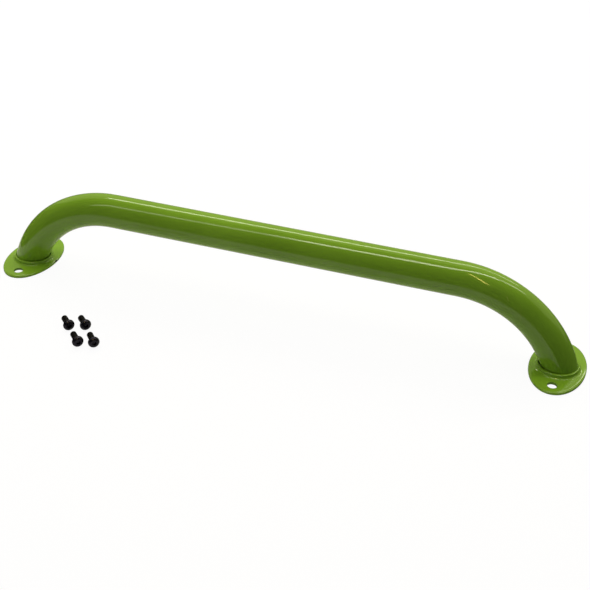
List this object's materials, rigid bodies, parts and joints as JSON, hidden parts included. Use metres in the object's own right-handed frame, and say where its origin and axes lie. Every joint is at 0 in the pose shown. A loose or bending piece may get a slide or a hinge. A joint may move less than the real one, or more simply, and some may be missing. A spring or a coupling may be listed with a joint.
{
  "type": "monkey bar rung",
  "caption": "Bent round-tube overhead grip bar with oval collared bolting flanges welded to its ends, and loose button-head screws.",
  "frame": {"origin": "centre of the four bolt holes, midway between the flanges, in the plane of both mounting faces", "axes": "+X along the grip towards the right flange, +Y across it away from the loose screws, +Z away from the mounting plane towards the grip"},
  "size_m": [0.5752, 0.1664, 0.0879],
  "materials": {
    "green_powder_coat": "glossy powder coat on steel",
    "coated_weld": "powder coated weld bead",
    "black_oxide_steel": "black oxide, lightly oiled"
  },
  "bodies": {
    "bar": {"bar_tube": "green_powder_coat", "flange_left": "green_powder_coat", "flange_right": "green_powder_coat", "weld_left": "coated_weld", "weld_right": "coated_weld"},
    "screw_1": {"screw_1": "black_oxide_steel"},
    "screw_2": {"screw_2": "black_oxide_steel"},
    "screw_3": {"screw_3": "black_oxide_steel"},
    "screw_4": {"screw_4": "black_oxide_steel"}
  },
  "joints": [
    {"name": "screw_1_lift", "type": "slide", "parent": "bar", "child": "screw_1", "axis": [0, 0, 1], "range_m": [0, 0.12]},
    {"name": "screw_2_lift", "type": "slide", "parent": "bar", "child": "screw_2", "axis": [0, 0, 1], "range_m": [0, 0.12]},
    {"name": "screw_3_lift", "type": "slide", "parent": "bar", "child": "screw_3", "axis": [0, 0, 1], "range_m": [0, 0.12]},
    {"name": "screw_4_lift", "type": "slide", "parent": "bar", "child": "screw_4", "axis": [0, 0, 1], "range_m": [0, 0.12]}
  ]
}
